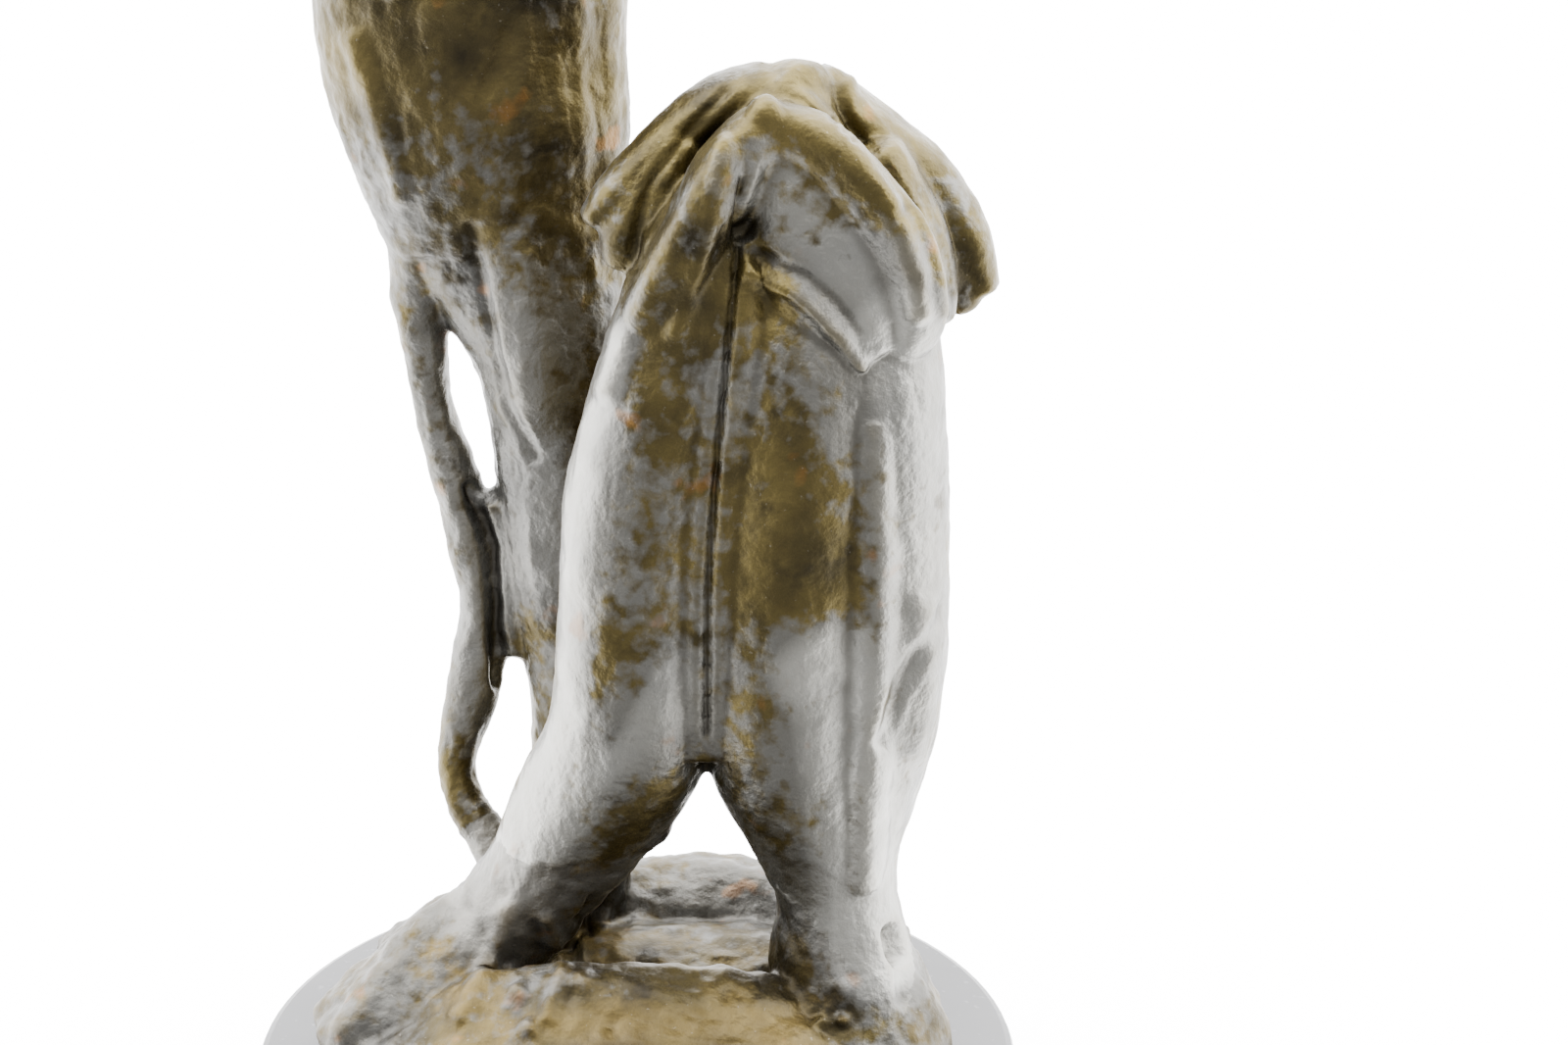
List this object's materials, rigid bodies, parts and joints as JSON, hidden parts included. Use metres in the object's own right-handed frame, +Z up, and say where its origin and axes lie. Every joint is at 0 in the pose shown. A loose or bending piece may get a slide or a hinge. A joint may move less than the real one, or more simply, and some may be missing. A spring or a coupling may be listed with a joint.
{
  "type": "collectible_figurine",
  "caption": "Bronze statuette of an upright long-eared hound beside a hollow willow stump, on rocky ground over a round polished stone disc with a felt underside",
  "frame": {"origin": "centre of the felt's underside", "axes": "+Z up, -Y is the front of the figure, +X is to the right seen from the front"},
  "size_m": [0.108, 0.108, 0.1927],
  "materials": {
    "bronze": "brown patina",
    "bronze_dark": "dark patina",
    "bronze_ground": "rough patina",
    "stone": "polished opaque stone",
    "felt": "felt",
    "steel": "zinc plated",
    "pin": "drawn"
  },
  "bodies": {
    "root": {"felt_pad": "felt", "stone_base": "stone", "base_stud_front": "steel", "base_stud_back": "steel", "base_washer_front": "steel", "base_washer_back": "steel", "base_nut_front": "steel", "base_nut_back": "steel", "ground_casting": "bronze_ground", "hound_left_forequarter": "bronze", "hound_right_forequarter": "bronze", "hound_hindquarters": "bronze", "hound_head": "bronze", "hound_left_ear": "bronze", "hound_right_ear": "bronze", "hound_tail": "bronze", "willow_column": "bronze_dark", "willow_crown": "bronze_dark", "willow_root": "bronze_dark", "willow_stub_left": "bronze_dark", "willow_stub_middle": "bronze_dark", "willow_stub_right": "bronze_dark", "pin_neck": "pin", "pin_hindquarters": "pin", "pin_willow_foot": "pin", "pin_willow_crown": "pin"}
  },
  "joints": []
}
